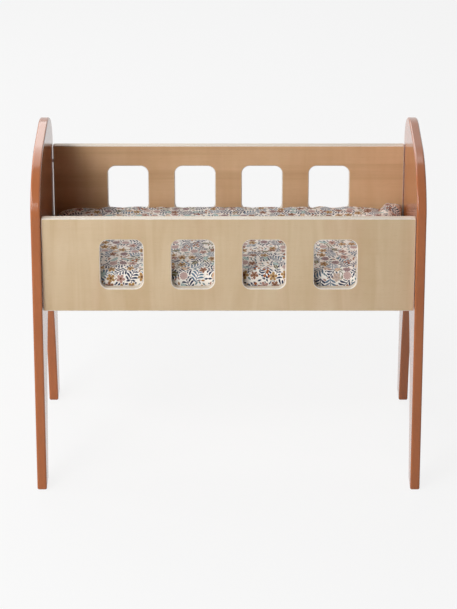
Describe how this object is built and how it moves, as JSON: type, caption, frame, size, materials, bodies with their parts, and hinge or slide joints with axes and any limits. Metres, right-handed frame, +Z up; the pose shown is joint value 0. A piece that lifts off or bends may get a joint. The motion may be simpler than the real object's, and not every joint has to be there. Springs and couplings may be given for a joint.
{
  "type": "doll bed",
  "caption": "Wooden doll bed: arched lacquered end panels as legs, plywood front and back panels with rounded windows, a base on battens and a loose printed mattress.",
  "frame": {"origin": "the middle of the bed's footprint, on the floor", "axes": "+X along the bed to the right as seen from the front, +Y from the front panel to the back panel, +Z up"},
  "size_m": [0.48, 0.2998, 0.42],
  "materials": {
    "terracotta_lacquer": "satin gloss terracotta lacquer over wood board",
    "birch_plywood": "clear matt varnish over birch plywood, sanded edges",
    "base_plywood": "unfinished plywood",
    "pine_batten": "planed pine",
    "zinc_screws": "zinc plated",
    "printed_cotton": "printed plain weave cotton over soft filling"
  },
  "bodies": {
    "frame": {"left_end_panel": "terracotta_lacquer", "right_end_panel": "terracotta_lacquer", "front_panel": "birch_plywood", "back_panel": "birch_plywood", "front_batten": "pine_batten", "back_batten": "pine_batten", "base_board": "base_plywood", "left_end_screw_1": "zinc_screws", "left_end_screw_2": "zinc_screws", "left_end_screw_3": "zinc_screws", "left_end_screw_4": "zinc_screws", "right_end_screw_1": "zinc_screws", "right_end_screw_2": "zinc_screws", "right_end_screw_3": "zinc_screws", "right_end_screw_4": "zinc_screws", "front_batten_screw_1": "zinc_screws", "front_batten_screw_2": "zinc_screws", "front_batten_screw_3": "zinc_screws", "front_batten_screw_4": "zinc_screws", "back_batten_screw_1": "zinc_screws", "back_batten_screw_2": "zinc_screws", "back_batten_screw_3": "zinc_screws", "back_batten_screw_4": "zinc_screws", "base_screw_1": "zinc_screws", "base_screw_2": "zinc_screws", "base_screw_3": "zinc_screws", "base_screw_4": "zinc_screws", "base_screw_5": "zinc_screws", "base_screw_6": "zinc_screws"},
    "mattress": {"mattress": "printed_cotton"}
  },
  "joints": [
    {"name": "mattress_lift", "type": "slide", "parent": "frame", "child": "mattress", "axis": [0, 0, 1], "range_m": [0, 0.18]}
  ]
}
